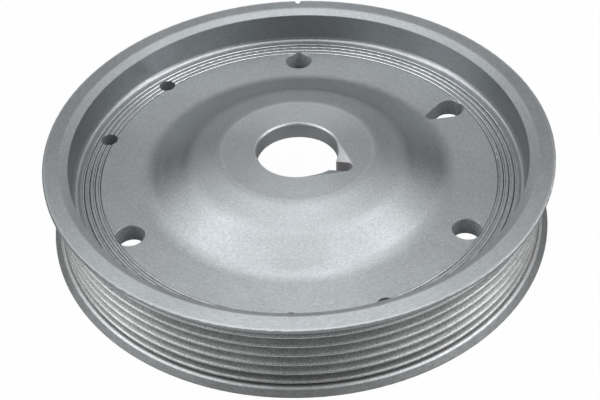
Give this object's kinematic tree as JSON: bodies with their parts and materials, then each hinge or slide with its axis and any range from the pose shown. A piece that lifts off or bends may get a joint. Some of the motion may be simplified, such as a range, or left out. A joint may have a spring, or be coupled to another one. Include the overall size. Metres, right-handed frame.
{
  "type": "crankshaft pulley",
  "caption": "Flanged ribbed-belt crankshaft pulley with a domed web, keyed centre bore and open recess on both sides.",
  "frame": {"origin": "pulley axis at the lower face of the rim", "axes": "+Z along the axis towards the recessed front face, +Y towards the timing notch of the upper flange"},
  "size_m": [0.152, 0.152, 0.0266],
  "materials": {
    "pulley": "satin, fine turned"
  },
  "bodies": {
    "root": {"pulley": "pulley"}
  },
  "joints": []
}
